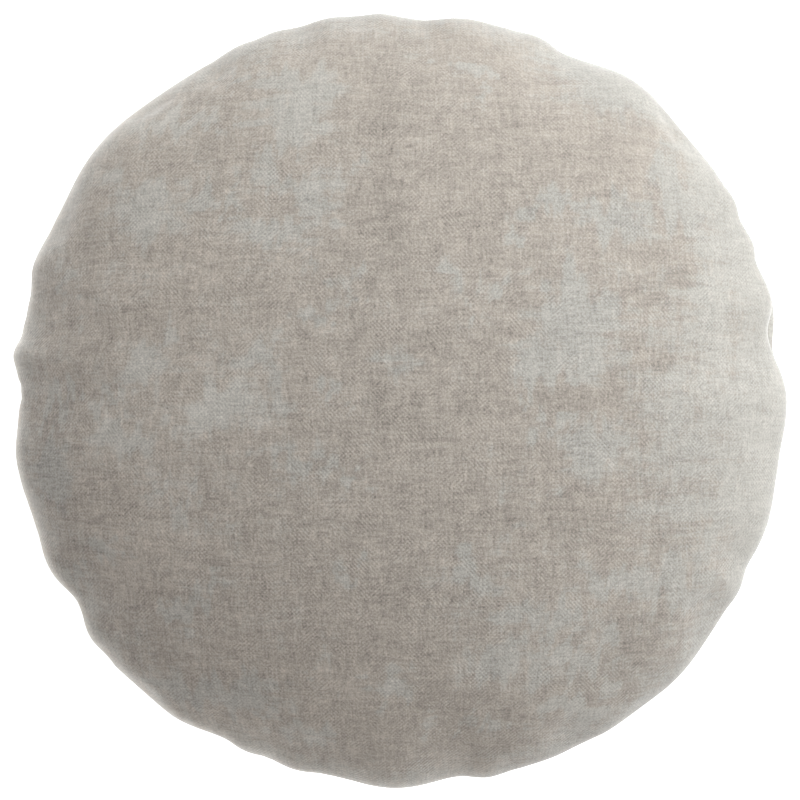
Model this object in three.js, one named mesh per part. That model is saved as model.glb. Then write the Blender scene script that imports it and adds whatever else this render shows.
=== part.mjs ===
// Round scatter cushion, filled, lying on its back
//
// Two round cloth panels are sewn together at their rim and filled. The filling draws the rim in
// from the panels' flat size, so the seam gathers into puckers, and the cloth arches out between
// them in lobes. Along the warp and the weft the cloth can't shear and the puckers stand close.
// On the two bias diagonals it stretches, so there the lobes are long and stand further out.
//
// Millimetres, +Z up. The face looks up, +Y is the face's own top. The origin is on the surface
// that the cushion lies on, under the middle of its outline.

import * as THREE from 'three';

// Driving dimensions
const DIAMETER = 450; // nominal width across the filled cushion
const CROWN = 92; // height of the face's crown above the seam, and of the back's crown below it
const PRESSED = 9; // depth by which the back's crown is pressed flat where the cushion lies
const SETTLING = 3; // height over which the pressed spot rounds into the back

// The panels' section: height = CROWN * (1 - share^FULLNESS)^SHOULDER, share from 0 to 1 outwards
const FULLNESS = 2;
const SHOULDER = 0.64;

// The seam's groove, where the two panels roll in to meet
const GROOVE_DEPTH = 3;
const GROOVE_REACH = 6; // how far it reaches above and below the seam
const GROOVE_LOSS = 0.9; // the share of its depth that the groove takes off the widest measure
const RIM_RADIUS = DIAMETER / 2 + GROOVE_LOSS * GROOVE_DEPTH; // the panels' rim before the groove

// The puckers, in order round the seam from the face's right side, counter-clockwise
//   at     place round the seam, degrees
//   pinch  how far the seam stands out there from the nominal radius, mm
//   lobe   how far the lobe that follows the pucker stands out, mm
//   lean   where that lobe's crest is, as a share of the way to the next pucker
//   rounding  how far the pucker is opened from a sharp crease to a hollow
//   reach  how far the crease runs up each panel from the seam, mm
//   drift  how far the seam is tugged up or down there, mm
const PUCKERS = [
  { at: 7.3, pinch: -6.7, lobe: -0.8, lean: 0.54, rounding: 0.25, reach: 95, drift: -3.0 },
  { at: 21.2, pinch: -3.4, lobe: -0.5, lean: 0.42, rounding: 0.45, reach: 45, drift: 1.5 },
  { at: 27.7, pinch: -1.8, lobe: 1.4, lean: 0.41, rounding: 0.45, reach: 30, drift: -1.0 },
  { at: 35.8, pinch: 0.9, lobe: 4.7, lean: 0.58, rounding: 0.4, reach: 30, drift: 1.5 },
  { at: 64.5, pinch: -3.5, lobe: 0.2, lean: 0.5, rounding: 0.55, reach: 50, drift: -2.5 },
  { at: 73.7, pinch: -1.1, lobe: -0.7, lean: 0.38, rounding: 0.55, reach: 30, drift: 1.0 },
  { at: 86.2, pinch: -5.4, lobe: -0.9, lean: 0.69, rounding: 0.7, reach: 60, drift: 2.5 },
  { at: 96.5, pinch: -1.1, lobe: 0.2, lean: 0.46, rounding: 0.5, reach: 35, drift: 1.0 },
  { at: 104.8, pinch: -1.0, lobe: 0.5, lean: 0.57, rounding: 0.5, reach: 35, drift: -1.5 },
  { at: 111.7, pinch: -0.3, lobe: 0.6, lean: 0.36, rounding: 0.5, reach: 25, drift: 1.0 },
  { at: 119.2, pinch: -0.7, lobe: 4.1, lean: 0.61, rounding: 0.3, reach: 55, drift: -2.0 },
  { at: 152.4, pinch: 0.4, lobe: 2.2, lean: 0.57, rounding: 0.25, reach: 60, drift: 2.0 },
  { at: 164.8, pinch: -2.0, lobe: -2.3, lean: 0.51, rounding: 0.25, reach: 45, drift: -1.0 },
  { at: 169.8, pinch: -2.0, lobe: 1.4, lean: 0.5, rounding: 0.3, reach: 50, drift: -1.5 },
  { at: 176.8, pinch: -2.2, lobe: -2.6, lean: 0.44, rounding: 0.3, reach: 40, drift: 2.0 },
  { at: 180.2, pinch: -4.6, lobe: 1.0, lean: 0.51, rounding: 0.25, reach: 55, drift: 3.0 },
  { at: 199.6, pinch: -0.4, lobe: 1.5, lean: 0.43, rounding: 0.3, reach: 50, drift: -1.5 },
  { at: 212.2, pinch: -4.8, lobe: 2.3, lean: 0.59, rounding: 0.55, reach: 55, drift: 2.5 },
  { at: 223.2, pinch: 2.1, lobe: 1.5, lean: 0.53, rounding: 0.35, reach: 30, drift: -1.0 },
  { at: 242.9, pinch: -3.8, lobe: -1.8, lean: 0.55, rounding: 0.4, reach: 50, drift: 2.0 },
  { at: 249.8, pinch: -3.1, lobe: -1.4, lean: 0.51, rounding: 0.5, reach: 40, drift: -2.0 },
  { at: 258.6, pinch: -3.3, lobe: 0.9, lean: 0.53, rounding: 0.45, reach: 70, drift: 1.5 },
  { at: 279, pinch: -3.9, lobe: 0.7, lean: 0.57, rounding: 0.4, reach: 60, drift: -2.5 },
  { at: 288.5, pinch: 0.3, lobe: 1.3, lean: 0.64, rounding: 0.45, reach: 65, drift: 1.0 },
  { at: 297.4, pinch: 1.2, lobe: 2.5, lean: 0.59, rounding: 0.4, reach: 35, drift: -1.0 },
  { at: 306.5, pinch: 2.3, lobe: 3.6, lean: 0.41, rounding: 0.4, reach: 40, drift: 1.5 },
  { at: 326.9, pinch: 0.7, lobe: 1.7, lean: 0.44, rounding: 0.45, reach: 40, drift: -1.5 },
  { at: 334.5, pinch: -1.3, lobe: 0.9, lean: 0.42, rounding: 0.6, reach: 40, drift: 1.0 },
  { at: 349.3, pinch: -1.6, lobe: 0.3, lean: 0.54, rounding: 0.35, reach: 60, drift: 2.0 },
];
const CREASE_SOFTENING = 40; // distance up the panel over which a crease opens into a soft valley
const SOFT_ARCH = 2; // power of the lobes' arch up the panel, where the valleys are round
const DRIFT_REACH = 30; // distance up the panel over which the seam's tugging dies out

// Steps of the surface
const COLUMN_WIDTH = 2.5; // widest step round the seam, degrees
const FEWEST_COLUMNS = 4; // fewest steps across a lobe
const RINGS = 13; // rings from the crown to the seam, on each panel
const RING_CROWDING = 1.5; // how much closer the rings stand towards the seam

const FULL_TURN = 360;
const toRadians = THREE.MathUtils.degToRad;
const { lerp } = THREE.MathUtils;

// A smooth step between two values: half a cosine wave
function ease(from, to, share) {
  return lerp(from, to, (1 - Math.cos(Math.PI * share)) / 2);
}

// The lobe that follows pucker number index, with its places as angles that rise with the index
function lobeAfter(index) {
  const count = PUCKERS.length;
  const wrapped = (index + count) % count;
  const start = PUCKERS[wrapped];
  const end = PUCKERS[(wrapped + 1) % count];
  const from = start.at + FULL_TURN * Math.floor(index / count);
  const width = (end.at - start.at + FULL_TURN) % FULL_TURN;
  return { start, end, from, width, crestAt: from + width * start.lean };
}

// The smooth outline that joins the lobes' crests, at one angle within lobe number index
function crestLine(index, angle) {
  const here = lobeAfter(index);
  const other = lobeAfter(angle < here.crestAt ? index - 1 : index + 1);
  const share = (angle - here.crestAt) / (other.crestAt - here.crestAt);
  return ease(here.start.lobe, other.start.lobe, share);
}

// How far along its arch a lobe is at a share of its width: a half at its crest, wherever it leans
function archShare(lobe, share) {
  return share ** (Math.log(1 / 2) / Math.log(lobe.start.lean));
}

// The arch of a lobe at a share of its width, from 0 at its puckers to 1 at its crest: a sine
// wave, its feet blunted by the puckers' rounding
function archOf(lobe, share) {
  const blunt = lerp(lobe.start.rounding, lobe.end.rounding, share);
  const wave = Math.sin(Math.PI * archShare(lobe, share));
  return (Math.hypot(wave, blunt) - blunt) / (Math.hypot(1, blunt) - blunt);
}

// One column of the surface: where it stands round the seam, and how the folds run there
function makeColumn(index, share) {
  const lobe = lobeAfter(index);
  const angle = lobe.from + lobe.width * share;
  const crest = crestLine(index, angle);
  return {
    angle: toRadians(angle),
    arch: archOf(lobe, share),
    crest,
    foldDepth: crest - lerp(lobe.start.pinch, lobe.end.pinch, share),
    reach: ease(lobe.start.reach, lobe.end.reach, share),
    drift: ease(lobe.start.drift, lobe.end.drift, share),
  };
}

function makeColumns() {
  return PUCKERS.flatMap((pucker, index) => {
    const { width } = lobeAfter(index);
    const steps = Math.max(FEWEST_COLUMNS, Math.ceil(width / COLUMN_WIDTH));
    return Array.from({ length: steps }, (unused, step) => makeColumn(index, step / steps));
  });
}

// One ring of a panel's plain section, from the crown (share 0) to the seam (share 1): its share
// of the radius, its height over the seam, its slope's outward normal, and its distance from the
// seam along the panel. The ring's place follows an angle, so the rings keep apart at the rim.
function makeSection() {
  const rings = Array.from({ length: RINGS + 1 }, (unused, step) => {
    const away = (1 - step / RINGS) ** RING_CROWDING;
    const angle = (Math.PI / 2) * (1 - away);
    const share = step === 0 ? 0 : Math.sin(angle) ** (2 / FULLNESS);
    const height = step === RINGS ? 0 : CROWN * Math.cos(angle) ** (2 * SHOULDER);
    return { share, height, place: new THREE.Vector2(share * RIM_RADIUS, height) };
  });
  let fromSeam = 0;
  for (let step = RINGS; step >= 0; step -= 1) {
    const inner = rings[Math.max(step - 1, 0)].place;
    const outer = rings[Math.min(step + 1, RINGS)].place;
    const along = outer.clone().sub(inner).normalize();
    const normal = new THREE.Vector2(-along.y, along.x);
    if (step === RINGS) normal.set(1, 0);
    if (step === 0) normal.set(0, 1);
    if (step < RINGS) fromSeam += rings[step].place.distanceTo(rings[step + 1].place);
    Object.assign(rings[step], { normal, fromSeam });
  }
  return rings;
}

// How deep the folds lie below the lobes' crests at one ring of one column
function foldAt(column, ring) {
  const opening = Math.min(1, ring.fromSeam / CREASE_SOFTENING);
  const arch = column.arch ** lerp(1, SOFT_ARCH, opening);
  const fade = Math.exp(-2 * (ring.fromSeam / column.reach) ** 1.5);
  return column.foldDepth * (1 - arch) * fade;
}

// The height over the surface that the cushion lies on: the lowest spot is pressed flat
function settle(height) {
  if (height >= SETTLING) return height;
  if (height <= -SETTLING) return 0;
  return (height + SETTLING) ** 2 / (4 * SETTLING);
}

// A point of the cloth. side is 1 on the face and -1 on the back.
function clothPoint(column, ring, side) {
  const fold = foldAt(column, ring);
  const groove = GROOVE_DEPTH * Math.exp(-((ring.height / GROOVE_REACH) ** 2));
  const swell = column.crest * ring.share ** 2;
  const radius = ring.place.x + swell - fold * ring.normal.x - groove;
  const tug = column.drift * Math.exp(-((ring.fromSeam / DRIFT_REACH) ** 2));
  const height = side * (ring.height - fold * ring.normal.y) + tug;
  return new THREE.Vector3(
    Math.max(0, radius) * Math.cos(column.angle),
    Math.max(0, radius) * Math.sin(column.angle),
    settle(CROWN - PRESSED + height),
  );
}

// The closed skin: the face's crown, rings down to the shared seam, rings on to the back's crown
function makeCushionGeometry() {
  const columns = makeColumns();
  const section = makeSection();
  const face = section.slice(1).map((ring) => ({ ring, side: 1 }));
  const back = section.slice(1, RINGS).reverse().map((ring) => ({ ring, side: -1 }));
  const rows = [...face, ...back];

  const points = rows.flatMap(({ ring, side }) => columns.map((column) => clothPoint(column, ring, side)));
  const top = points.push(new THREE.Vector3(0, 0, 2 * CROWN - PRESSED)) - 1;
  const bottom = points.push(new THREE.Vector3(0, 0, 0)) - 1;

  const across = columns.length;
  const triangles = [];
  columns.forEach((unused, column) => {
    const next = (column + 1) % across;
    triangles.push(top, column, next);
    for (let row = 0; row < rows.length - 1; row += 1) {
      const upper = row * across;
      const lower = upper + across;
      triangles.push(upper + column, lower + column, lower + next);
      triangles.push(upper + column, lower + next, upper + next);
    }
    const last = (rows.length - 1) * across;
    triangles.push(last + column, bottom, last + next);
  });

  const geometry = new THREE.BufferGeometry().setFromPoints(points);
  geometry.setIndex(triangles);
  geometry.computeVertexNormals();
  return geometry;
}

// Puts the middle of the outline over the origin
function centre(geometry) {
  geometry.computeBoundingBox();
  const middle = geometry.boundingBox.getCenter(new THREE.Vector3());
  return geometry.translate(-middle.x, -middle.y, 0);
}

// Chenille-look upholstery cloth, warm grey-beige
const cloth = new THREE.MeshStandardMaterial({ color: '#a59b91', roughness: 0.95, metalness: 0 });

const cushion = new THREE.Mesh(centre(makeCushionGeometry()), cloth);
cushion.name = 'cushion';

const part = new THREE.Group();
part.add(cushion);

export default part;
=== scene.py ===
"""Round scatter cushion in mottled upholstery cloth, lying on its back on a pale studio floor.

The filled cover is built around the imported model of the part: two round cloth panels, sewn
together at their rim, filled and gathered into puckers. The cushion's own tables are in
millimetres, and Blender's objects are in metres.
"""

import itertools
import math
from collections import namedtuple

import bpy
import numpy as np
from bpy.props import FloatProperty, FloatVectorProperty, PointerProperty
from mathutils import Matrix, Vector


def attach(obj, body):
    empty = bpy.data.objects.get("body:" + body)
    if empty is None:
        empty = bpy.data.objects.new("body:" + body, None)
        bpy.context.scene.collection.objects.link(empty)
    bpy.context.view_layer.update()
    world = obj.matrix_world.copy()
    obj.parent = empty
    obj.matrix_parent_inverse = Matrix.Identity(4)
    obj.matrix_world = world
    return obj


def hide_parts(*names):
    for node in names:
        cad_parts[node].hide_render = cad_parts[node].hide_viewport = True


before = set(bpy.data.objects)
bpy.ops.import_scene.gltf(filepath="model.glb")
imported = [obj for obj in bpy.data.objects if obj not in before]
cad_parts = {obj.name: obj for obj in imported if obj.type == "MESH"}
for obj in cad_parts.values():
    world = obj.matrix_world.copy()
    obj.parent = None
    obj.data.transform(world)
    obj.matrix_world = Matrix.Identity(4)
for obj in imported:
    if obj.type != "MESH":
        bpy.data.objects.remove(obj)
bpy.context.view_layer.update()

bl_info = {
    "name": "Round Scatter Cushion",
    "version": (1, 0, 0),
    "blender": (4, 5, 0),
    "location": "3D View > Sidebar > Cushion",
    "description": "Fills and dresses a round scatter cushion and sets it in a pale studio",
    "category": "Add Mesh",
}

MM = 0.001
FULL_TURN = 360  # degrees
SIDES = (1, -1)  # which way the face and the back bulge
TINY = 1e-9  # the least length that is divided by

# The cover's make, in millimetres
DIAMETER = 450  # nominal width across the filled cushion
CROWN = 92  # height of the face's crown above the seam
PRESSED = 9  # depth by which the back's crown is pressed flat where the cushion lies
SETTLING = 3  # height over which the pressed spot rounds into the back
FULLNESS = 2  # the section: height = CROWN * (1 - share^FULLNESS)^SHOULDER
SHOULDER = 0.64
GROOVE_DEPTH = 3  # how deep the two panels roll in at the seam
GROOVE_REACH = 6
CREASE_DEPTH = 1.2  # how much further in the stitching holds the seam's very edge
CREASE_REACH = 1.5
GROOVE_LOSS = 0.9  # the share of its depth that the groove takes off the widest measure
RIM_RADIUS = DIAMETER / 2 + GROOVE_LOSS * GROOVE_DEPTH

# The seam's puckers. at is the place round the seam in degrees, counter-clockwise from the
# face's right side. pinch and lobe are how far the seam stands out there, and how far the lobe
# that follows does. lean is where that lobe's crest is on the way to the next pucker. rounding
# opens the pucker from a sharp crease to a hollow. reach is how far the crease runs up the
# panels, and drift how far the seam is tugged up or down.
Pucker = namedtuple("Pucker", "at pinch lobe lean rounding reach drift")
PUCKERS = [
    #      at     pinch  lobe  lean  rounding  reach  drift
    Pucker(7.3, -6.7, -0.8, 0.54, 0.25, 95, -3.0),
    Pucker(21.2, -3.4, -0.5, 0.42, 0.45, 45, 1.5),
    Pucker(27.7, -1.8, 1.4, 0.41, 0.45, 30, -1.0),
    Pucker(35.8, 0.9, 4.7, 0.58, 0.40, 30, 1.5),
    Pucker(64.5, -3.5, 0.2, 0.50, 0.55, 50, -2.5),
    Pucker(73.7, -1.1, -0.7, 0.38, 0.55, 30, 1.0),
    Pucker(86.2, -5.4, -0.9, 0.69, 0.70, 60, 2.5),
    Pucker(96.5, -1.1, 0.2, 0.46, 0.50, 35, 1.0),
    Pucker(104.8, -1.0, 0.5, 0.57, 0.50, 35, -1.5),
    Pucker(111.7, -0.3, 0.6, 0.36, 0.50, 25, 1.0),
    Pucker(119.2, -0.7, 4.1, 0.61, 0.30, 55, -2.0),
    Pucker(152.4, 0.4, 2.2, 0.57, 0.25, 60, 2.0),
    Pucker(164.8, -2.0, -2.3, 0.51, 0.25, 45, -1.0),
    Pucker(169.8, -2.0, 1.4, 0.50, 0.30, 50, -1.5),
    Pucker(176.8, -2.2, -2.6, 0.44, 0.30, 40, 2.0),
    Pucker(180.2, -4.6, 1.0, 0.51, 0.25, 55, 3.0),
    Pucker(199.6, -0.4, 1.5, 0.43, 0.30, 50, -1.5),
    Pucker(212.2, -4.8, 2.3, 0.59, 0.55, 55, 2.5),
    Pucker(223.2, 2.1, 1.5, 0.53, 0.35, 30, -1.0),
    Pucker(242.9, -3.8, -1.8, 0.55, 0.40, 50, 2.0),
    Pucker(249.8, -3.1, -1.4, 0.51, 0.50, 40, -2.0),
    Pucker(258.6, -3.3, 0.9, 0.53, 0.45, 70, 1.5),
    Pucker(279.0, -3.9, 0.7, 0.57, 0.40, 60, -2.5),
    Pucker(288.5, 0.3, 1.3, 0.64, 0.45, 65, 1.0),
    Pucker(297.4, 1.2, 2.5, 0.59, 0.40, 35, -1.0),
    Pucker(306.5, 2.3, 3.6, 0.41, 0.40, 40, 1.5),
    Pucker(326.9, 0.7, 1.7, 0.44, 0.45, 40, -1.5),
    Pucker(334.5, -1.3, 0.9, 0.42, 0.60, 40, 1.0),
    Pucker(349.3, -1.6, 0.3, 0.54, 0.35, 60, 2.0),
]
FOLD_FADE = 2  # up the panels a fold fades by exp(-FOLD_FADE * (distance / reach)^FADE_POWER)
FADE_POWER = 1.5
CREASE_SOFTENING = 40  # distance up the panel over which a crease opens into a soft valley
SOFT_ARCH = 2  # power of the lobes' arch up the panel, where the valleys are round
DRIFT_REACH = 30  # distance up the panel over which the seam's tugging dies out

# Where the seam is tucked in and up, so that the back panel shows past the face's edge: at and
# width are in degrees, and depth is how far the seam goes in.
Tuck = namedtuple("Tuck", "at width depth")
TUCKS = [
    Tuck(10.6, 2.6, 6.0),
    Tuck(178.6, 1.6, 4.5),
]
TUCK_REACH_FACE = 14  # distance over which the face's cloth follows the seam in
TUCK_REACH_BACK = 4
TUCK_RISE = 0.6  # how far the seam goes up, as a share of how far it goes in

# The grid of each panel, woven square and mapped to a round
GRID_STEPS = 220
RIM_CROWDING = 0.2  # how much closer the grid's lines stand at the rim than at the middle
SECTION_STEPS = 4000

# The cloth simulation that gathers the cover, on a coarser grid of the same kind, with its
# lengths in millimetres
SIM_STEPS = 96
SIM_FRAMES = range(1, 21)
SIM_START = 1  # how much smaller than the filled form the cloth starts
POINT_MASS = 0.001  # kilograms
BENDING = 5  # how stiff the cloth is against bending
GATHER_FROM_SEAM = 20  # distance from the seam over which the gathers set in
PROFILE_BINS = 40  # a panel's rings, each of which keeps its mean height

BACK_PANEL_SHIFT = 0.6  # metres between the two panels' patterns, so that they differ

# The cloth's soft clouds on the face, with painted light and shade among them, in millimetres from
# its middle: right and up are the places, wide and high half sizes, cover says how far the cooler
# colour covers the ground, and paler how much lighter the spot is, darker where it is below 0.
# Spots with no cover are only lighter or darker ground: some are the cloth's own mottling, and the
# broad ones and those near the rim are painted light and painted shade.
Cloud = namedtuple("Cloud", "right up wide high cover paler")
CLOUDS_AND_PAINTED_LIGHT = [
    Cloud(-148, 112, 23, 15, 1.0, 0.10),
    Cloud(-130, 166, 32, 6, 1.0, 0.10),
    Cloud(-106, 116, 16, 5, 1.0, 0.05),
    Cloud(-60, 178, 26, 18, 1.0, 0.09),
    Cloud(-95, 200, 9, 5, 1.0, 0.08),
    Cloud(-58, 157, 18, 8, 1.0, 0.06),
    Cloud(-54, 131, 32, 8, 1.0, 0.07),
    Cloud(-40, 116, 11, 9, 1.0, 0.06),
    Cloud(-68, 100, 30, 8, 1.0, 0.06),
    Cloud(-48, 84, 6, 10, 0.7, 0.02),
    Cloud(-196, 70, 6, 15, 0.8, 0.04),
    Cloud(-136, 34, 11, 9, 1.0, 0.07),
    Cloud(-145, 16, 14, 12, 1.0, 0.13),
    Cloud(-78, 22, 18, 8, 0.9, 0.05),
    Cloud(-96, -6, 27, 16, 1.0, 0.16),
    Cloud(-68, -4, 10, 9, 0.8, 0.02),
    Cloud(-176, 0, 12, 6, 1.0, 0.07),
    Cloud(-158, -25, 20, 12, 1.0, 0.12),
    Cloud(-208, -5, 14, 8, 1.0, 0.08),
    Cloud(-207, -44, 12, 17, 1.0, 0.04),
    Cloud(-35, 45, 15, 6, 1.0, 0.06),
    Cloud(-20, 58, 7, 8, 0.8, 0.04),
    Cloud(-32, 0, 9, 5, 0.9, 0.07),
    Cloud(-62, -38, 18, 5, 0.8, 0.03),
    Cloud(-30, -40, 12, 6, 1.0, 0.07),
    Cloud(-115, -58, 24, 5, 0.9, 0.05),
    Cloud(-170, -88, 16, 7, 1.0, 0.04),
    Cloud(-192, -110, 10, 8, 0.8, 0.02),
    Cloud(-112, -112, 14, 8, 1.0, 0.06),
    Cloud(-128, -124, 13, 8, 1.0, 0.09),
    Cloud(-25, -104, 8, 6, 0.9, 0.05),
    Cloud(-104, -182, 40, 13, 1.0, 0.0),
    Cloud(-60, -202, 12, 9, 1.0, 0.08),
    Cloud(4, -172, 13, 10, 1.0, 0.08),
    Cloud(-42, -160, 6, 6, 0.8, 0.06),
    Cloud(24, -200, 6, 8, 0.9, 0.06),
    Cloud(54, -196, 12, 5, 0.9, 0.02),
    Cloud(54, -92, 17, 8, 1.0, 0.05),
    Cloud(86, -124, 26, 9, 1.0, 0.04),
    Cloud(70, -152, 24, 12, 1.0, 0.06),
    Cloud(112, -148, 20, 8, 1.0, 0.05),
    Cloud(130, -105, 32, 9, 1.0, 0.05),
    Cloud(114, -186, 22, 11, 1.0, 0.05),
    Cloud(-125, 78, 36, 14, 0.0, 0.05),
    Cloud(-130, -86, 30, 16, 0.0, 0.05),
    Cloud(106, 42, 26, 22, 1.0, 0.05),
    Cloud(102, 16, 20, 12, 1.0, 0.09),
    Cloud(92, -12, 16, 5, 0.9, 0.03),
    Cloud(120, -32, 18, 15, 1.0, 0.04),
    Cloud(42, 62, 8, 7, 1.0, 0.10),
    Cloud(58, 72, 7, 6, 1.0, 0.10),
    Cloud(48, 196, 11, 7, 1.0, 0.12),
    Cloud(48, 175, 4, 7, 0.8, 0.06),
    Cloud(70, 98, 9, 6, 0.9, 0.06),
    Cloud(98, 116, 12, 8, 1.0, 0.04),
    Cloud(132, 112, 24, 15, 1.0, 0.04),
    Cloud(170, 120, 18, 14, 1.0, 0.03),
    Cloud(132, 182, 26, 14, 0.9, 0.0),
    Cloud(5, 22, 7, 7, 0.8, 0.02),
    Cloud(66, -46, 9, 6, 0.7, 0.03),
    Cloud(70, -66, 12, 4, 0.8, 0.02),
    Cloud(190, 46, 20, 26, 1.0, 0.06),
    Cloud(198, -20, 62, 96, 0.75, 0.0),
    Cloud(205, -8, 24, 18, 1.0, 0.03),
    Cloud(196, -72, 24, 24, 1.0, 0.03),
    Cloud(168, -112, 26, 14, 0.9, 0.0),
    Cloud(212, 118, 42, 78, 0.75, 0.0),
    Cloud(142, 196, 48, 34, 0.7, 0.0),
    Cloud(116, -132, 100, 76, 0.24, 0.0),
    Cloud(-140, 0, 100, 190, 0.2, 0.0),
    Cloud(-115, 186, 17, 11, 0.0, -0.09),
    Cloud(-111, 150, 10, 14, 0.0, -0.09),
    Cloud(-190, 98, 12, 15, 0.0, -0.07),
    Cloud(-200, 26, 13, 13, 0.0, -0.08),
    Cloud(-117, 56, 9, 12, 0.0, -0.05),
    Cloud(-108, -36, 26, 5, 0.0, -0.03),
    Cloud(-118, -20, 16, 5, 0.8, 0.07),
    Cloud(-100, -70, 24, 8, 0.0, -0.05),
    Cloud(-140, -160, 24, 12, 0.0, -0.04),
    Cloud(-8, 172, 14, 30, 0.0, -0.06),
    Cloud(-10, 100, 12, 20, 0.0, -0.04),
    Cloud(4, 130, 16, 90, 0.0, -0.04),
    # Painted shade: broad darker spots over the lit right of the face.
    Cloud(84, 150, 60, 60, 0.0, -0.03),
    Cloud(112, 20, 76, 110, 0.0, -0.05),
    # Painted shade: a darker band just inside the rim on the left, the side turned from the lamps.
    Cloud(-208, -36, 20, 36, 0.0, -0.13),
    Cloud(-194, -94, 20, 26, 0.0, -0.11),
    Cloud(-162, -142, 24, 24, 0.0, -0.08),
    # Painted light and shade: broad lighter spots over the left of the face, and darker spots near
    # the bottom rim and the middle.
    Cloud(-140, -44, 44, 64, 0.0, 0.05),
    Cloud(-100, -30, 46, 60, 0.0, 0.03),
    Cloud(-88, 152, 52, 50, 0.0, 0.035),
    Cloud(118, -224, 74, 24, 0.0, -0.07),
    Cloud(8, 10, 28, 20, 0.0, -0.03),
    Cloud(-112, 40, 62, 60, 0.0, 0.05),
    Cloud(-160, 162, 28, 20, 0.0, 0.07),
    Cloud(-22, -176, 18, 22, 0.0, 0.07),
    Cloud(46, -232, 13, 14, 0.0, 0.06),
    # Painted shade: darker spots, most on the lit right of the face and along the rim.
    Cloud(176, -154, 46, 42, 0.0, -0.10),
    Cloud(160, 112, 28, 14, 0.0, -0.06),
    Cloud(234, 22, 16, 9, 0.0, -0.08),
    Cloud(2, 216, 15, 26, 0.0, -0.10),
    Cloud(-46, -232, 15, 16, 0.0, -0.09),
    Cloud(10, -232, 13, 16, 0.0, -0.09),
    Cloud(4, 88, 8, 24, 0.0, -0.04),
    Cloud(20, 36, 30, 12, 0.0, -0.05),
    Cloud(150, 62, 15, 12, 0.0, -0.09),
    Cloud(150, 17, 14, 7, 0.0, -0.09),
    Cloud(136, 160, 20, 14, 0.0, -0.05),
    Cloud(150, 88, 20, 12, 0.0, -0.05),
    Cloud(142, -140, 26, 15, 0.0, -0.07),
    Cloud(14, -10, 28, 14, 0.0, -0.04),
    Cloud(30, -108, 28, 9, 0.0, -0.08),
    Cloud(48, -126, 14, 12, 0.0, -0.06),
    Cloud(106, -68, 22, 18, 0.0, -0.08),
    Cloud(158, -80, 18, 8, 0.0, -0.06),
    Cloud(118, -166, 22, 9, 0.0, -0.07),
    Cloud(70, -184, 16, 8, 0.0, -0.06),
]
CLOUD_WANDER = 4  # how far the clouds' outlines stray, millimetres
WANDER_REACH = 9  # distance over which they stray
CLOUD_FRAY = 6  # how far their edges fray along the yarns
FRAY_LONG = 14  # the frays' length and width
FRAY_THIN = 1.4
LATTICE = 300  # the random values stand on an even lattice of so many points a side
FACE_SEED = 11  # each panel draws its random values with its seed and the three after it
BACK_SEED = 15
BACK_CLOUDS_TURN = math.radians(90)  # the back panel is cut from another stretch of the cloth
CLOUD_UNEVEN = 5.0  # how far the cloth's own bands and frays break up the clouds
CLOUD_EDGE = (0.1, 0.9)  # the values of cover between which the ground turns into cloud
CLOUD_LIFT = 0.06  # how much lighter the cloud is than the ground

# Painted sheen round the rim: the cooler colour is painted over the ground near the seam, and the
# rim is painted paler on the left, the side turned from the lamps, standing in for the bright rim
# that the sheen gives there.
PAINTED_SHEEN_COVER = 0.85  # how far the cooler colour covers the ground at the seam
PAINTED_SHEEN_COVER_REACH = 28  # distance from the seam over which that dies out, millimetres
PAINTED_SHEEN_TOWARD = 195  # the side where the painted sheen is palest, degrees
PAINTED_SHEEN_PALER = 1.0  # how much lighter the painted sheen is at the seam
PAINTED_SHEEN_PALER_REACH = 16

# How clearly the yarns' grain shows: the nap lies over it most to the upper right and round
# the rim.
GRAIN_CLEAR = 1.02  # at the middle, as a share of its plain strength
GRAIN_SLOPE = 0.2  # how much less of it shows one panel radius further to that side
GRAIN_HIDDEN_TOWARD = 35  # degrees
GRAIN_HIDDEN_AT_RIM = 0.22  # how much less of it shows at the seam
GRAIN_RIM_REACH = 65  # distance from the seam over which that dies out, millimetres

# The streaks that run along warp and weft: their width and length in millimetres, how many
# octaves of finer detail lie in them, and how rough that is. A slub is one thread wide.
Streak = namedtuple("Streak", "width length detail roughness")
TUFT = Streak(6, 16, 2.5, 1.0)
SLUB = Streak(1.2, 9, 2.0, 0.6)
BAND = Streak(14, 70, 2.0, 0.6)
FRAY = Streak(4, 18, 2.5, 0.8)

# Single fibres, about 0.02 mm thick, are too fine to show. They are drawn as little tufts, as
# coarse as they need to be to show.
FIBRE_TUFT = 1.6  # millimetres

# Each use of the noise reads a stretch of its own, counted in grains from the noise's origin.
FIRST_STRETCH = 400.31
NEXT_STRETCH = 7.37

# The two diagonal waves that make up the weave, the second taken off the first: how the places
# across and up are joined for each, and its strength where it is faintest and clearest.
Diagonal = namedtuple("Diagonal", "joining faintest clearest")
DIAGONALS = [
    Diagonal("SUBTRACT", 0.025, 1.3),
    Diagonal("ADD", -0.025, -0.95),
]
WEAVE_PATCH = 13  # width of the patches where one of them is clear, millimetres
PATCH_EDGE = (-0.11, 0.2)  # the noise's values between which such a patch sets in
WEAVE_RELIEF = 0.5  # how far weave and fibres stand out, as shares of the yarns' relief
FIBRE_RELIEF = 2.0
RELIEF_STRENGTH = 0.3  # how much of that relief the light shows

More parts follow.
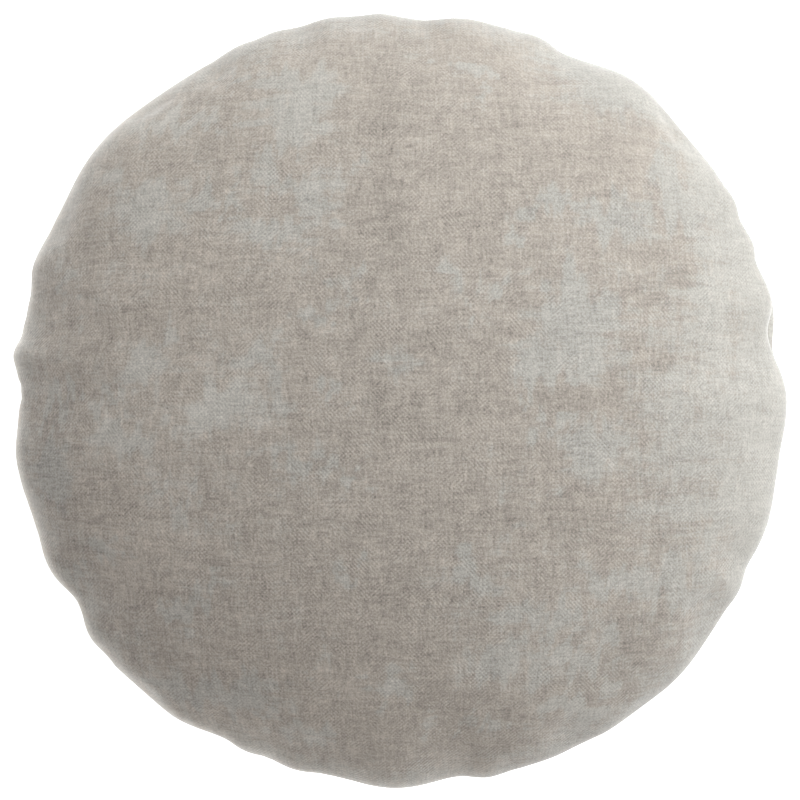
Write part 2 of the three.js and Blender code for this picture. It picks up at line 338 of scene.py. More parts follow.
# The soft lamps. power names the studio's setting that a lamp takes its power from, and share
# how much of it. bearing is where it stands round the cushion, counter-clockwise from the
# face's right side, and height is its height over the horizon, both in degrees.
Lamp = namedtuple("Lamp", "name power share bearing height colour")
LAMPS = [
    Lamp("Key", "key_power", 1.0, 60, 42, "#f3f9fe"),
    Lamp("Key right", "key_power", 0.36, 0, 50, "#ffffff"),
    Lamp("Window", "key_power", 0.58, 12, 18, "#eef6ff"),
    Lamp("Fill left", "fill_power", 1.0, 165, 60, "#f8f8ff"),
    Lamp("Fill below", "fill_power", 0.15, 280, 25, "#f6f6ff"),
]
CLIP_END = 100  # how far the camera sees, metres


def colour(code):
    """An sRGB hex colour as linear red, green, blue and alpha."""
    shares = [int(code[i:i + 2], 16) / 255 for i in (1, 3, 5)]
    linear = [s / 12.92 if s <= 0.04045 else ((s + 0.055) / 1.055) ** 2.4 for s in shares]
    return (*linear, 1.0)


def column(name):
    """One column of the table of puckers."""
    return np.array([getattr(pucker, name) for pucker in PUCKERS], float)


def eased(angle, places, values):
    """Values at places round the seam, joined by half cosine waves, read at each angle."""
    turned = places[0] + (angle - places[0]) % FULL_TURN
    start = np.searchsorted(places, turned, side="right") - 1
    following = (start + 1) % len(places)
    width = (places[following] - places[start]) % FULL_TURN
    share = (turned - places[start]) / width
    return values[start] + (values[following] - values[start]) * (1 - np.cos(np.pi * share)) / 2


def folds_round_seam(angle):
    """For angles in degrees: the arch of the lobe there (0 at its puckers, 1 at its crest), how
    far the crest line stands out, how deep the puckers lie under it, their reach and drift. The
    arch is half a sine wave a, its crest moved to lean by a power of the share of the way, and
    blunted at its foot: (sqrt(a^2 + r^2) - r) / (sqrt(1 + r^2) - r)."""
    at = column("at")
    lean = column("lean")
    width = np.diff(np.append(at, at[0] + FULL_TURN))
    turned = at[0] + (angle - at[0]) % FULL_TURN
    start = np.searchsorted(at, turned, side="right") - 1
    share = np.clip((turned - at[start]) / width[start], 0, 1)
    arch = np.sin(np.pi * share ** (math.log(0.5) / np.log(lean[start])))
    blunt = np.interp(angle, at, column("rounding"), period=FULL_TURN)
    arch = (np.hypot(arch, blunt) - blunt) / (np.hypot(1, blunt) - blunt)
    crest = eased(angle, at + width * lean, column("lobe"))
    pinch = np.interp(angle, at, column("pinch"), period=FULL_TURN)
    reach = eased(angle, at, column("reach"))
    drift = eased(angle, at, column("drift"))
    return np.clip(arch, 0, 1), crest, crest - pinch, reach, drift


def tucks_round_seam(angle):
    """How far the seam is tucked in at angles in degrees: a bell curve round each tuck."""
    depth = np.zeros_like(angle)
    for tuck in TUCKS:
        off = (angle - tuck.at + FULL_TURN / 2) % FULL_TURN - FULL_TURN / 2
        depth += tuck.depth * np.exp(-((off / tuck.width) ** 2))
    return depth


def section():
    """A panel's plain section from the crown to the seam, at even steps of an angle: radius =
    RIM_RADIUS * sin(angle)^(2 / FULLNESS), height = CROWN * cos(angle)^(2 * SHOULDER). Gives
    the distance along it, the radius, the height and the outward normal's two parts."""
    angle = np.linspace(0, np.pi / 2, SECTION_STEPS)
    radius = RIM_RADIUS * np.sin(angle) ** (2 / FULLNESS)
    height = CROWN * np.clip(np.cos(angle), 0, 1) ** (2 * SHOULDER)
    along = np.append(0, np.cumsum(np.hypot(np.diff(radius), np.diff(height))))
    out, up = np.gradient(radius), np.gradient(height)
    length = np.hypot(out, up)
    return along, radius, height, -up / length, out / length


SECTION = section()
PANEL_RADIUS = SECTION[0][-1]  # the flat panel's radius, millimetres


def seam_distance(flat):
    """How far flat points of a panel lie from the seam along the cloth, in millimetres."""
    return (1 - np.clip(np.hypot(flat[..., 0], flat[..., 1]), 0, 1)) * PANEL_RADIUS


def settle(height):
    """Heights over the floor with the lowest spot pressed flat: a parabola joins the floor and
    the free form over SETTLING to both sides."""
    pressed = (height + SETTLING) ** 2 / (4 * SETTLING)
    return np.where(height >= SETTLING, height, np.where(height <= -SETTLING, 0, pressed))


def cloth_points(flat, side, ease_off=0.0):
    """The filled form's points for flat points of a panel, given as shares of its radius. The
    distance from the panel's middle runs down the section, the folds lie below the crests by
    depth * (1 - arch) * fade, and the seam's groove is cut in by a bell curve of the height,
    with a sharper crease at the stitching.
    side is 1 on the face and -1 on the back; ease_off takes millimetres off all round."""
    share = np.clip(np.hypot(flat[..., 0], flat[..., 1]), 0, 1)
    angle = np.arctan2(flat[..., 1], flat[..., 0])
    along, *curves = SECTION
    radius, height, out, up = (np.interp(share * PANEL_RADIUS, along, curve) for curve in curves)
    from_seam = seam_distance(flat)

    arch, crest, depth, reach, drift = folds_round_seam(np.degrees(angle))
    opening = np.clip(from_seam / CREASE_SOFTENING, 0, 1)
    fade = np.exp(-FOLD_FADE * (from_seam / reach) ** FADE_POWER)
    fold = depth * (1 - arch ** (1 + (SOFT_ARCH - 1) * opening)) * fade
    groove = GROOVE_DEPTH * np.exp(-((height / GROOVE_REACH) ** 2))
    groove += CREASE_DEPTH * np.exp(-from_seam / CREASE_REACH)
    inward = fold + ease_off
    tuck_reach = TUCK_REACH_FACE if side > 0 else TUCK_REACH_BACK
    tuck = tucks_round_seam(np.degrees(angle)) * np.exp(-((from_seam / tuck_reach) ** 2))
    radius = radius + crest * (radius / RIM_RADIUS) ** 2 - inward * out - groove - tuck
    tug = drift * np.exp(-((from_seam / DRIFT_REACH) ** 2)) + TUCK_RISE * tuck
    height = side * (height - inward * up) + tug
    radius = np.clip(radius, 0, None)
    return np.stack([radius * np.cos(angle), radius * np.sin(angle), CROWN - PRESSED + height], -1)


def grid_line(steps):
    """The places of a grid's lines from -1 to 1, crowding to the ends: t (1 + c (1 - t^2))."""
    even = np.linspace(-1, 1, steps + 1)
    return even * (1 + RIM_CROWDING * (1 - even ** 2))


def panel_grid(steps):
    """A square grid of steps by steps cells, laid over a disc of radius 1: each point (a, b) of
    the square goes to (a sqrt(1 - b^2 / 2), b sqrt(1 - a^2 / 2))."""
    a, b = np.meshgrid(grid_line(steps), grid_line(steps), indexing="ij")
    return np.stack([a * np.sqrt(1 - b ** 2 / 2), b * np.sqrt(1 - a ** 2 / 2)], -1)


def panel_numbers(across):
    """The numbers of the face's and the back's points in a cover whose two panels share their
    rim, and which points of a panel are within the rim."""
    face = np.arange(across * across).reshape(across, across)
    inner = np.zeros((across, across), bool)
    inner[1:-1, 1:-1] = True
    back = face.copy()
    back[inner] = across * across + np.arange(inner.sum())
    return face, back, inner


def cells(numbers):
    """The four corners of each cell of a grid of point numbers."""
    corners = (numbers[:-1, :-1], numbers[1:, :-1], numbers[1:, 1:], numbers[:-1, 1:])
    return np.stack([corner.ravel() for corner in corners], -1)


def joined(face, back):
    """The points of the two panels in one list, in metres, their shared rim once."""
    inner = panel_numbers(face.shape[0])[2]
    return np.concatenate([face.reshape(-1, 3), back[inner]]) * MM


def closed_mesh(name, face, back):
    """A closed mesh of two square grids of points that share their rim."""
    face_number, back_number, _ = panel_numbers(face.shape[0])
    faces = np.concatenate([cells(face_number), cells(back_number)[:, ::-1]])
    mesh = bpy.data.meshes.new(name)
    mesh.from_pydata(joined(face, back), [], faces)
    return mesh


def outward(points, side):
    """The outward normals of a panel's grid: the cross product of its two directions."""
    normal = side * np.cross(np.gradient(points, axis=0), np.gradient(points, axis=1))
    return normal / np.maximum(np.linalg.norm(normal, axis=-1, keepdims=True), TINY)


def slack_cut(flat, points, side, slack):
    """The points that the simulated cloth strives for: each ring is wider than the filled form's
    by a share of what the flat cloth has over it, at the same length down the panel."""
    along, radius, height = SECTION[:3]
    wider = radius + slack * (along - radius)
    drop = np.sqrt(np.clip(np.diff(along) ** 2 - np.diff(wider) ** 2, 0, None))
    rise = np.append(np.cumsum(drop[::-1])[::-1], 0)
    place = np.hypot(flat[..., 0], flat[..., 1]) * PANEL_RADIUS
    ratio = np.interp(place, along[1:], wider[1:] / radius[1:])
    cut = points * np.stack([ratio, ratio, np.ones_like(ratio)], -1)
    cut[..., 2] += side * np.interp(place, along, rise - height)
    return cut


def simulate(scene, face, back, cut, filling):
    """Blows the two panels up in a cloth simulation with the seam pinned, and gives their points
    after it."""
    face_number, back_number, inner = panel_numbers(face.shape[0])
    blank = bpy.data.objects.new("blank", closed_mesh("blank", face, back))
    scene.collection.objects.link(blank)
    blank.shape_key_add(name="Filled")
    slack = blank.shape_key_add(name="Cut")
    slack.data.foreach_set("co", cut.ravel())
    seam = blank.vertex_groups.new(name="Seam")
    seam.add(face_number[~inner].tolist(), 1.0, "REPLACE")

    cloth = blank.modifiers.new("Cloth", "CLOTH")
    cloth.settings.mass = POINT_MASS
    cloth.settings.bending_stiffness = BENDING
    cloth.settings.use_pressure = True
    cloth.settings.uniform_pressure_force = filling.pressure
    cloth.settings.effector_weights.gravity = 0
    cloth.settings.vertex_group_mass = seam.name
    cloth.settings.rest_shape_key = slack
    cloth.collision_settings.use_collision = False
    cloth.point_cache.frame_end = SIM_FRAMES[-1]
    for frame_number in SIM_FRAMES:
        scene.frame_set(frame_number)
    result = blank.evaluated_get(bpy.context.evaluated_depsgraph_get()).data
    points = np.empty(3 * len(result.vertices))
    result.vertices.foreach_get("co", points)
    points = points.reshape(-1, 3) / MM
    bpy.data.meshes.remove(blank.data)
    scene.frame_set(SIM_FRAMES[0])
    return points[face_number], points[back_number]


def finer(values, steps):
    """Values on the simulation's grid, read on a finer one through cubic B-splines, which are
    2/3 - x^2 + x^3 / 2 within one step of a line and (2 - x)^3 / 6 within two."""
    place = np.interp(grid_line(steps), grid_line(SIM_STEPS), np.arange(SIM_STEPS + 1))
    off = np.abs(place[:, None] - np.arange(SIM_STEPS + 1))
    near = 2 / 3 - off ** 2 + off ** 3 / 2
    weight = np.where(off < 1, near, np.clip(2 - off, 0, None) ** 3 / 6)
    weight /= weight.sum(1, keepdims=True)
    return weight @ values @ weight.T


def gathers(scene, filling):
    """How far the simulated cloth lies above the filled form on each panel, in millimetres: what
    is left along its normal without the mean of each ring. A tanh keeps it under the cap, and
    it sets in over a distance from the pinned seam."""
    flat = panel_grid(SIM_STEPS)
    share = np.clip(np.hypot(flat[..., 0], flat[..., 1]), 0, 1)
    ring = np.rint(share * PROFILE_BINS).astype(int)
    start = [cloth_points(flat, side, SIM_START) for side in SIDES]
    cut = joined(*(slack_cut(flat, panel, side, filling.slack)
                   for panel, side in zip(start, SIDES)))
    panels = simulate(scene, *start, cut, filling)
    set_in = 1 - np.exp(-((seam_distance(flat) / GATHER_FROM_SEAM) ** 2))
    moves = []
    for before, after, side in zip(start, panels, SIDES):
        move = ((after - before) * outward(before, side)).sum(-1)
        count = np.bincount(ring.ravel())
        mean = np.bincount(ring.ravel(), move.ravel()) / np.maximum(count, 1)
        move = move - np.interp(share * PROFILE_BINS, np.arange(len(mean)), mean)
        cap = filling.most_move / MM
        moves.append(finer(cap * np.tanh(move / cap) * set_in, GRID_STEPS))
    return moves


def wandering(flat, right, up, seed):
    """Smooth random values at flat points of a panel, which swing over so many millimetres to
    the right and up: white noise on an even lattice, its fine part taken off by a bell curve of
    the frequency, exp(-2 (pi frequency)^2), and read between the four nearest points."""
    noise = np.random.default_rng(seed).standard_normal((LATTICE, LATTICE))
    cell = 2 * PANEL_RADIUS / (LATTICE - 1)
    waves = np.hypot(right / cell * np.fft.fftfreq(LATTICE)[:, None],
                     up / cell * np.fft.rfftfreq(LATTICE)[None, :])
    smooth = np.fft.irfft2(np.fft.rfft2(noise) * np.exp(-2 * (np.pi * waves) ** 2), s=noise.shape)
    smooth /= smooth.std()
    place = (flat + 1) / 2 * (LATTICE - 1)
    low = np.clip(place.astype(int), 0, LATTICE - 2)
    i, j = low[..., 0], low[..., 1]
    a, b = (place - low)[..., 0], (place - low)[..., 1]
    return ((smooth[i, j] * (1 - a) + smooth[i + 1, j] * a) * (1 - b)
            + (smooth[i, j + 1] * (1 - a) + smooth[i + 1, j + 1] * a) * b)


def clouds_and_painted_light(flat, turn, seed):
    """How far the cooler colour covers the ground at flat points of a panel, and how much paler the
    cloth is there, painted light and painted shade included. Each cloud is a rounded box, exp(-(x^4
    + y^4)): the furthest cover of all counts, and what each makes paler adds up. They are read
    where random values have moved the point to. Those that move it along a yarn change from one
    yarn to the next."""
    strays = [wandering(flat, WANDER_REACH, WANDER_REACH, seed + axis) for axis in (0, 1)]
    frays = [wandering(flat, FRAY_LONG, FRAY_THIN, seed + 2),
             wandering(flat, FRAY_THIN, FRAY_LONG, seed + 3)]
    moved = CLOUD_WANDER * np.stack(strays, -1) + CLOUD_FRAY * np.stack(frays, -1)
    place = flat * PANEL_RADIUS + moved
    right = place[..., 0] * math.cos(turn) - place[..., 1] * math.sin(turn)
    up = place[..., 0] * math.sin(turn) + place[..., 1] * math.cos(turn)
    cover, paler = np.zeros(flat.shape[:2]), np.zeros(flat.shape[:2])
    for cloud in CLOUDS_AND_PAINTED_LIGHT:
        box = np.exp(-((right - cloud.right) / cloud.wide) ** 4
                     - ((up - cloud.up) / cloud.high) ** 4)
        cover = np.maximum(cover, cloud.cover * box)
        paler += cloud.paler * box
    return cover, paler


def painted_rim_sheen(flat):
    """Painted sheen round the rim: how far the cooler colour covers the ground near the seam, a
    bell curve of the distance from it, and how much paler it is painted on the side turned from the
    lamps: a rounded box, exp(-(distance / reach)^4), times the cosine of the angle from that side."""
    from_seam = seam_distance(flat)
    turned = np.arctan2(flat[..., 1], flat[..., 0]) - math.radians(PAINTED_SHEEN_TOWARD)
    side = np.clip(np.cos(turned), 0, 1)
    return (PAINTED_SHEEN_COVER * np.exp(-((from_seam / PAINTED_SHEEN_COVER_REACH) ** 2)),
            PAINTED_SHEEN_PALER * side * np.exp(-((from_seam / PAINTED_SHEEN_PALER_REACH) ** 4)))


def clear_grain(flat):
    """How clearly the yarns' grain shows: an even slope across the panel, less a bell curve of
    the distance from the seam."""
    toward = math.radians(GRAIN_HIDDEN_TOWARD)
    along = flat[..., 0] * math.cos(toward) + flat[..., 1] * math.sin(toward)
    from_seam = seam_distance(flat)
    at_rim = GRAIN_HIDDEN_AT_RIM * np.exp(-((from_seam / GRAIN_RIM_REACH) ** 2))
    return GRAIN_CLEAR - GRAIN_SLOPE * along - at_rim


def cover_mesh(name, face, back, flat):
    """The flat panels give its UV map, in metres, with the back panel's beside the face's, and its
    attributes say where the clouds, the painted sheen round the rim, the painted light and shade,
    and the grain show."""
    face_number, back_number, inner = panel_numbers(face.shape[0])
    mesh = closed_mesh(name, face, back)
    spot = flat.reshape(-1, 2) * PANEL_RADIUS * MM
    face_spots = spot[cells(face_number)]
    back_spots = spot[cells(face_number)[:, ::-1]] + (BACK_PANEL_SHIFT, 0)
    pattern = mesh.uv_layers.new(name="Panels")
    pattern.data.foreach_set("uv", np.concatenate([face_spots, back_spots]).ravel())
    # The clouds, with the painted light and shade among them.
    face_cover, face_paler_and_painted_light = clouds_and_painted_light(flat, 0.0, FACE_SEED)
    back_cover, back_paler_and_painted_light = clouds_and_painted_light(flat, BACK_CLOUDS_TURN, BACK_SEED)
    # The painted sheen round the rim, palest on the left.
    painted_sheen_cover, painted_sheen_paler = painted_rim_sheen(flat)
    grain = clear_grain(flat)
    for title, face_values, back_values in (
        ("Cloud cover", face_cover + painted_sheen_cover, back_cover + painted_sheen_cover),
        ("Paler", face_paler_and_painted_light + painted_sheen_paler, back_paler_and_painted_light + painted_sheen_paler),
        ("Grain", grain, grain),
    ):
        values = np.concatenate([face_values.ravel(), back_values[inner]])
        mesh.attributes.new(title, "FLOAT", "POINT").data.foreach_set("value", values)
    mesh.shade_smooth()
    mesh.update()
    return mesh


def add_node(tree, kind, inputs=None, **settings):
    """Adds a node with its settings. inputs gives each socket a value or an output to link."""
    node = tree.nodes.new(kind)
    for name, value in settings.items():
        setattr(node, name, value)
    for name, value in (inputs or {}).items():
        if isinstance(value, bpy.types.NodeSocket):
            tree.links.new(value, node.inputs[name])
        else:
            node.inputs[name].default_value = value
    return node.outputs


def new_material(name):
    """An empty material with only its output, and the tree to fill."""
    material = bpy.data.materials.new(name)
    material.use_nodes = True
    material.node_tree.nodes.clear()
    return material, material.node_tree


def mottled_chenille(finish):
    """Flat-woven chenille-look polyester, brushed and printed with a soft clouding: plain weave of
    plump yarns, warm grey-beige, with pale cooler clouds where the nap lies the other way, and a
    pale bloom at grazing angles from the fibre ends. Its tone also takes the painted sheen round
    the rim and the painted light and shade from the mesh's attributes."""
    material, tree = new_material("Woven chenille, mottled grey-beige")

    def grain(width, height, turn=0.0, detail=2.0, roughness=0.6):
        """Noise from -0.5 to 0.5, whose grains are about so wide and high, in millimetres. Each
        call reads another stretch of it, far from its origin, where its octaves meet."""
        at = add_node(tree, "ShaderNodeMapping", {
            "Vector": place, "Rotation": (0, 0, turn),
            "Scale": (1 / (width * MM), 1 / (height * MM), 1),
            "Location": [next(stretches)] * 3,
        })["Vector"]
        noise = add_node(tree, "ShaderNodeTexNoise", {
            "Vector": at, "Scale": 1.0, "Detail": detail, "Roughness": roughness,
        })["Fac"]
        return add_node(tree, "ShaderNodeMath", {0: noise, 1: 0.5}, operation="SUBTRACT")[0]

    def total(first, *parts):
        """The first value and the parts, each of them a value times its weight, added up."""
        so_far = first
        for value, weight in parts:
            so_far = add_node(tree, "ShaderNodeMath", {
                0: value, 1: weight, 2: so_far}, operation="MULTIPLY_ADD")[0]
        return so_far

    def streaks(kind):
        """One kind of streak, along the warp and along the weft."""
        looks = (finish.weave_turn, kind.detail, kind.roughness)
        warp = grain(kind.width, kind.length, *looks)
        weft = grain(kind.length, kind.width, *looks)
        return total(warp, (weft, 1.0))

    stretches = itertools.count(FIRST_STRETCH, NEXT_STRETCH)
    place = add_node(tree, "ShaderNodeUVMap", uv_map="Panels")["UV"]

    # Plain weave: over and under change at every thread, sin(x) sin(y), which is half the
    # difference of two diagonal waves. The brushing leaves now one of them clear, now the other.
    threads = add_node(tree, "ShaderNodeMapping", {
        "Vector": place,
        "Rotation": (0, 0, finish.weave_turn),
        "Scale": (math.pi / finish.warp_spacing, math.pi / finish.weft_spacing, 1),
    })["Vector"]
    across, up, _ = add_node(tree, "ShaderNodeSeparateXYZ", {"Vector": threads})
    diagonals = []
    for joining, faintest, clearest in DIAGONALS:
        phase = add_node(tree, "ShaderNodeMath", {0: across, 1: up}, operation=joining)[0]
        wave = add_node(tree, "ShaderNodeMath", {0: phase}, operation="COSINE")[0]
        strength = add_node(tree, "ShaderNodeMapRange", {
            "Value": grain(WEAVE_PATCH, WEAVE_PATCH),
            "From Min": PATCH_EDGE[0], "From Max": PATCH_EDGE[1],
            "To Min": faintest, "To Max": clearest,
        })["Result"]
        diagonals.append((wave, strength))
    weave = total(0.0, *diagonals)

    # The brushed yarns: short fibres lie every way, and tufts of them and slubs run along warp
    # and weft.
    fibres = grain(FIBRE_TUFT, FIBRE_TUFT, detail=1.0, roughness=1.0)
    tufts = streaks(TUFT)
    slubs = streaks(SLUB)

    # The clouds and the painted sheen round the rim: the cooler colour covers the ground, broken up
    # along the yarns.
    streaky = total(0.0, (streaks(BAND), finish.bands), (streaks(FRAY), finish.frays))
    cover = add_node(tree, "ShaderNodeAttribute", attribute_name="Cloud cover")["Fac"]
    share = add_node(tree, "ShaderNodeMapRange", {
        "Value": total(cover, (streaky, CLOUD_UNEVEN)),
        "From Min": CLOUD_EDGE[0], "From Max": CLOUD_EDGE[1],
    }, interpolation_type="SMOOTHSTEP")["Result"]
    tint = add_node(tree, "ShaderNodeMix", {
        "Factor": share, "A": finish.ground, "B": finish.cloud,
    }, data_type="RGBA")["Result"]

    # Light and dark: clouds are paler, the rim carries painted sheen, painted light and shade trim
    # the face, and the yarns are uneven where they are clear.
    paler = add_node(tree, "ShaderNodeAttribute", attribute_name="Paler")["Fac"]
    clear = add_node(tree, "ShaderNodeAttribute", attribute_name="Grain")["Fac"]
    uneven = total(streaky, (fibres, finish.heather), (tufts, finish.tufts),
                   (slubs, finish.slubs), (weave, finish.weave_contrast))
    shade = total(1 - CLOUD_LIFT / 2, (share, CLOUD_LIFT), (paler, 1.0), (uneven, clear))
    tone = add_node(tree, "ShaderNodeVectorMath", {
        0: tint, "Scale": shade}, operation="SCALE")["Vector"]

    # The relief of yarns and fibres, which the nap hides as it does their tone.
    relief = total(0.0, (weave, WEAVE_RELIEF), (fibres, FIBRE_RELIEF))
    height = add_node(tree, "ShaderNodeMath", {0: relief, 1: clear}, operation="MULTIPLY")[0]
    normal = add_node(tree, "ShaderNodeBump", {
        "Height": height, "Strength": RELIEF_STRENGTH, "Distance": finish.yarn_relief,
    })["Normal"]
    cloth = add_node(tree, "ShaderNodeBsdfPrincipled", {
        "Base Color": tone,
        "Roughness": 0.92,
        "Specular IOR Level": 0.25,
        "Sheen Weight": finish.bloom,
        "Sheen Roughness": 0.4,
        "Normal": normal,
    })["BSDF"]
    add_node(tree, "ShaderNodeOutputMaterial", {"Surface": cloth})
    return material


def studio_floor(stage):
    """Matt white acrylic sheet lit from below, which keeps the shadows on it faint."""
    material, tree = new_material("Matt white acrylic, lit")
    sheet = add_node(tree, "ShaderNodeBsdfPrincipled", {
        "Base Color": stage.floor_colour,
        "Roughness": 0.9,
        "Specular IOR Level": 0.2,
        "Emission Color": colour("#ffffff"),
        "Emission Strength": stage.floor_glow,
    })["BSDF"]
    add_node(tree, "ShaderNodeOutputMaterial", {"Surface": sheet})
    return material


class ClothFinish(bpy.types.PropertyGroup):
    """The cloth's yarns and colours"""

    warp_spacing: FloatProperty(
        name="Warp spacing", description="Distance from one warp thread to the next",
        default=1.235 * MM, precision=5, unit="LENGTH")
    weft_spacing: FloatProperty(
        name="Weft spacing", description="Distance from one weft thread to the next",
        default=1.255 * MM, precision=5, unit="LENGTH")
    weave_turn: FloatProperty(
        name="Weave's turn", description="How far the weave is turned from the face's own top",
        default=math.radians(3.1), subtype="ANGLE")
    yarn_relief: FloatProperty(
        name="Yarn relief", description="How far a yarn stands out where it passes over",
        default=0.3 * MM, precision=5, unit="LENGTH")
    weave_contrast: FloatProperty(
        name="Weave contrast", description="How much lighter the warp is than the weft",
        default=0.08, subtype="FACTOR", min=0, max=1)
    heather: FloatProperty(
        name="Heather", description="How unevenly the short fibres take the light",
        default=0.9, min=0, max=2)
    tufts: FloatProperty(
        name="Tufts", description="How unevenly the tufts of fibres take the light",
        default=0.46, min=0, max=2)
    slubs: FloatProperty(
        name="Slubs", description="How uneven the yarns are along their length",
        default=0.5, min=0, max=2)
    bands: FloatProperty(
        name="Bands", description="How uneven the yarns' lightness is over broad bands",
        default=0.17, min=0, max=2)
    frays: FloatProperty(
        name="Frays", description="How much the clouds fray along the yarns",
        default=0.24, min=0, max=2)
    bloom: FloatProperty(
        name="Bloom", description="Pale light that the fibre ends catch at grazing angles",
        default=0.9, subtype="FACTOR", min=0, max=1)
    ground: FloatVectorProperty(
        name="Ground", description="Warm colour of the cloth's ground",
        default=colour("#ada397"), size=4, subtype="COLOR", min=0, max=1)
    cloud: FloatVectorProperty(
        name="Clouds", description="Cooler colour of the clouds",
        default=colour("#a9a49b"), size=4, subtype="COLOR", min=0, max=1)


class Filling(bpy.types.PropertyGroup):
    """How the cover is filled"""

    fill: FloatProperty(
        name="Fill", description="How tightly the cover is filled, from slack to tight",
        default=0.75, subtype="FACTOR", min=0, max=1)
    pressure: FloatProperty(
        name="Pressure", description="How hard the filling presses in the cloth simulation",
        default=8.0, min=0)
    slack: FloatProperty(
        name="Slack", description="Share of the flat cloth's extra width that is left to gather",
        default=0.25, subtype="FACTOR", min=0, max=1)
    most_move: FloatProperty(
        name="Most move", description="Cap on how far the simulation may move the cloth",
        default=1.6 * MM, precision=4, unit="LENGTH")


class Studio(bpy.types.PropertyGroup):
    """The floor, the light and the camera"""

    floor_size: FloatProperty(
        name="Floor size", description="Side of the floor", default=14.0, unit="LENGTH")
    floor_colour: FloatVectorProperty(
        name="Floor", description="Colour of the floor",
        default=colour("#f2f2f0"), size=4, subtype="COLOR", min=0, max=1)
    floor_glow: FloatProperty(
        name="Floor's glow", description="Light that the floor gives off by itself",
        default=1.0, min=0)
    surround: FloatProperty(
        name="Surround", description="Strength of the white surround at the horizon",
        default=1.3, min=0)
    surround_height: FloatProperty(
        name="Surround's height", description="Height at which the surround ends, as a sine",
        default=0.45, min=0.01, max=1)
    lamp_size: FloatProperty(
        name="Lamp size", description="Width of the soft lamps", default=1.4, unit="LENGTH")
    lamp_distance: FloatProperty(
        name="Lamp distance", description="From the cushion to the lamps",
        default=2.4, unit="LENGTH")
    key_power: FloatProperty(
        name="Key light", description="Power of the soft light from the right and above",
        default=40.9, min=0, unit="POWER")
    fill_power: FloatProperty(
        name="Fill light", description="Power of the weak light from the left and below",
        default=12.5, min=0, unit="POWER")
    camera_distance: FloatProperty(
        name="Camera distance", description="From the seam to the camera",
        default=2.5, unit="LENGTH")
    camera_lean: FloatProperty(
        name="Camera lean", description="How far the camera stands to the face's right",
        default=math.radians(4), subtype="ANGLE")
    frame_width: FloatProperty(
        name="Frame width", description="Width of the picture at the seam",
        default=0.4654, unit="LENGTH")
    aim_right: FloatProperty(
        name="Aim to the right", description="How far right of its middle the camera aims",
        default=0.85 * MM, precision=4, unit="LENGTH")
    aim_up: FloatProperty(
        name="Aim up", description="How far above its middle the camera aims",
        default=0.55 * MM, precision=4, unit="LENGTH")


class CUSHION_OT_fill_cover(bpy.types.Operator):
    """Makes the filled cover: two panels, gathered at the seam, in mottled cloth"""

    bl_idname = "cushion.fill_cover"
    bl_label = "Fill the Cover"

    def execute(self, context):
        scene = context.scene
        flat = panel_grid(GRID_STEPS)
        panels = [cloth_points(flat, side) for side in SIDES]
        for panel, side, move in zip(panels, SIDES, gathers(scene, scene.filling)):
            panel += move[..., None] * outward(panel, side)
        face, back = panels
        middle = (face.reshape(-1, 3).min(0) + face.reshape(-1, 3).max(0)) / 2
        for panel in panels:
            panel[..., :2] -= middle[:2]
            panel[..., 2] = settle(panel[..., 2])
        cover = bpy.data.objects.new("cushion_cover", cover_mesh("cushion_cover", face, back, flat))
        scene.collection.objects.link(cover)
        cover.data.materials.append(mottled_chenille(scene.cloth_finish))
        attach(cover, "root")
        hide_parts("cushion")
        return {"FINISHED"}


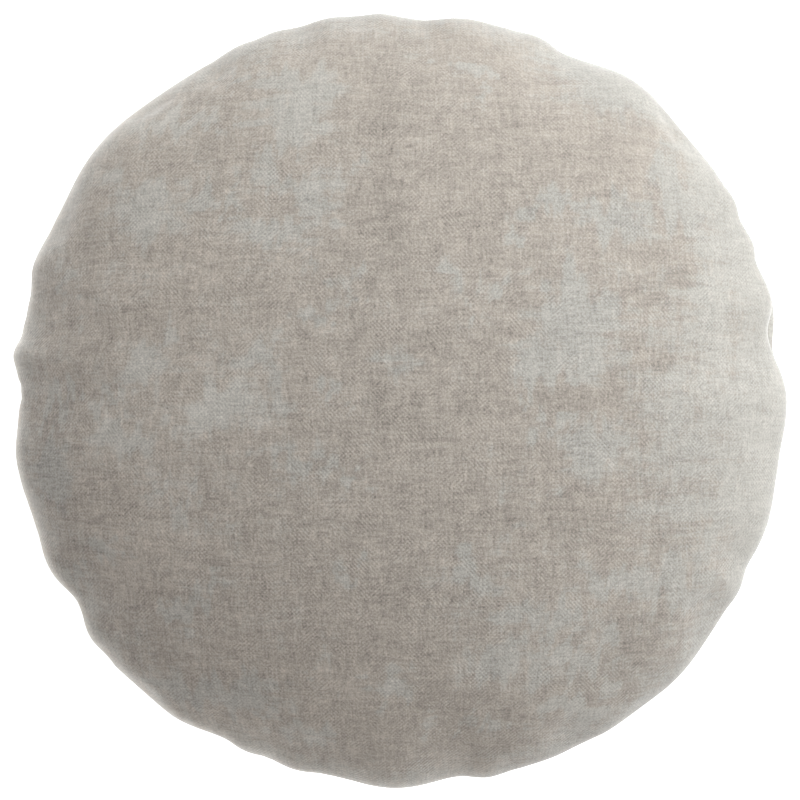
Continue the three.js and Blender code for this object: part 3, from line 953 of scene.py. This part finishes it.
class CUSHION_OT_set_stage(bpy.types.Operator):
    """Lays the floor and sets the light and the camera"""

    bl_idname = "cushion.set_stage"
    bl_label = "Set the Stage"

    def execute(self, context):
        scene = context.scene
        stage = scene.studio
        scene.view_settings.view_transform = "Standard"
        self.lay_floor(scene, stage)
        self.hang_surround(scene, stage)
        self.set_lamps(scene, stage)
        self.set_camera(scene, stage)
        return {"FINISHED"}

    def lay_floor(self, scene, stage):
        half = stage.floor_size / 2
        corners = [(-half, -half, 0), (half, -half, 0), (half, half, 0), (-half, half, 0)]
        sheet = bpy.data.meshes.new("floor")
        sheet.from_pydata(corners, [], [(0, 1, 2, 3)])
        sheet.materials.append(studio_floor(stage))
        floor = bpy.data.objects.new("floor", sheet)
        scene.collection.objects.link(floor)

    def hang_surround(self, scene, stage):
        world = bpy.data.worlds.new("White surround")
        world.use_nodes = True
        tree = world.node_tree
        background = tree.nodes["Background"]
        toward = add_node(tree, "ShaderNodeTexCoord")["Generated"]
        height = add_node(tree, "ShaderNodeSeparateXYZ", {"Vector": toward})["Z"]
        low = add_node(tree, "ShaderNodeMapRange", {
            "Value": height, "From Max": stage.surround_height, "To Min": 1.0, "To Max": 0.0,
        }, interpolation_type="SMOOTHERSTEP")["Result"]
        strength = add_node(tree, "ShaderNodeMath", {
            0: low, 1: stage.surround}, operation="MULTIPLY")[0]
        tree.links.new(strength, background.inputs["Strength"])
        background.inputs["Color"].default_value = colour("#ffffff")
        scene.world = world

    def set_lamps(self, scene, stage):
        for lamp in LAMPS:
            light = bpy.data.lights.new(lamp.name, "AREA")
            light.shape = "DISK"
            light.size = stage.lamp_size
            light.energy = getattr(stage, lamp.power) * lamp.share
            light.color = colour(lamp.colour)[:3]
            bearing, height = math.radians(lamp.bearing), math.radians(lamp.height)
            toward = Vector((
                math.cos(height) * math.cos(bearing),
                math.cos(height) * math.sin(bearing),
                math.sin(height),
            ))
            stand = bpy.data.objects.new(lamp.name, light)
            stand.location = Vector((0, 0, CROWN * MM)) + toward * stage.lamp_distance
            stand.rotation_euler = (-toward).to_track_quat("-Z", "Y").to_euler()
            scene.collection.objects.link(stand)

    def set_camera(self, scene, stage):
        lens = bpy.data.cameras.new("Camera")
        lens.lens = lens.sensor_width * stage.camera_distance / stage.frame_width
        lens.clip_end = CLIP_END
        camera = bpy.data.objects.new("Camera", lens)
        aim = Vector((stage.aim_right, stage.aim_up, (CROWN - PRESSED) * MM))
        toward = Vector((math.sin(stage.camera_lean), 0, math.cos(stage.camera_lean)))
        camera.location = aim + toward * stage.camera_distance
        camera.rotation_euler = (0, stage.camera_lean, 0)
        scene.collection.objects.link(camera)
        scene.camera = camera


class CUSHION_PT_sidebar(bpy.types.Panel):
    """The cushion's settings and steps"""

    bl_idname = "CUSHION_PT_sidebar"
    bl_label = "Round Scatter Cushion"
    bl_space_type = "VIEW_3D"
    bl_region_type = "UI"
    bl_category = "Cushion"

    def draw(self, context):
        scene = context.scene
        for group in (scene.filling, scene.cloth_finish, scene.studio):
            box = self.layout.box()
            for name in group.bl_rna.properties.keys():
                if name not in ("rna_type", "name"):
                    box.prop(group, name)
        for operator in (CUSHION_OT_fill_cover, CUSHION_OT_set_stage):
            self.layout.operator(operator.bl_idname)


CLASSES = (
    ClothFinish, Filling, Studio, CUSHION_OT_fill_cover, CUSHION_OT_set_stage, CUSHION_PT_sidebar,
)


def register():
    """Registers the classes and hangs the settings on the scene."""
    for kind in CLASSES:
        bpy.utils.register_class(kind)
    bpy.types.Scene.cloth_finish = PointerProperty(type=ClothFinish)
    bpy.types.Scene.filling = PointerProperty(type=Filling)
    bpy.types.Scene.studio = PointerProperty(type=Studio)


def unregister():
    """Takes the settings off the scene and the classes out again."""
    del bpy.types.Scene.studio
    del bpy.types.Scene.filling
    del bpy.types.Scene.cloth_finish
    for kind in reversed(CLASSES):
        bpy.utils.unregister_class(kind)


def main():
    """Builds the cushion and the stage."""
    register()
    bpy.ops.cushion.fill_cover()
    bpy.ops.cushion.set_stage()


if __name__ == "__main__":
    main()
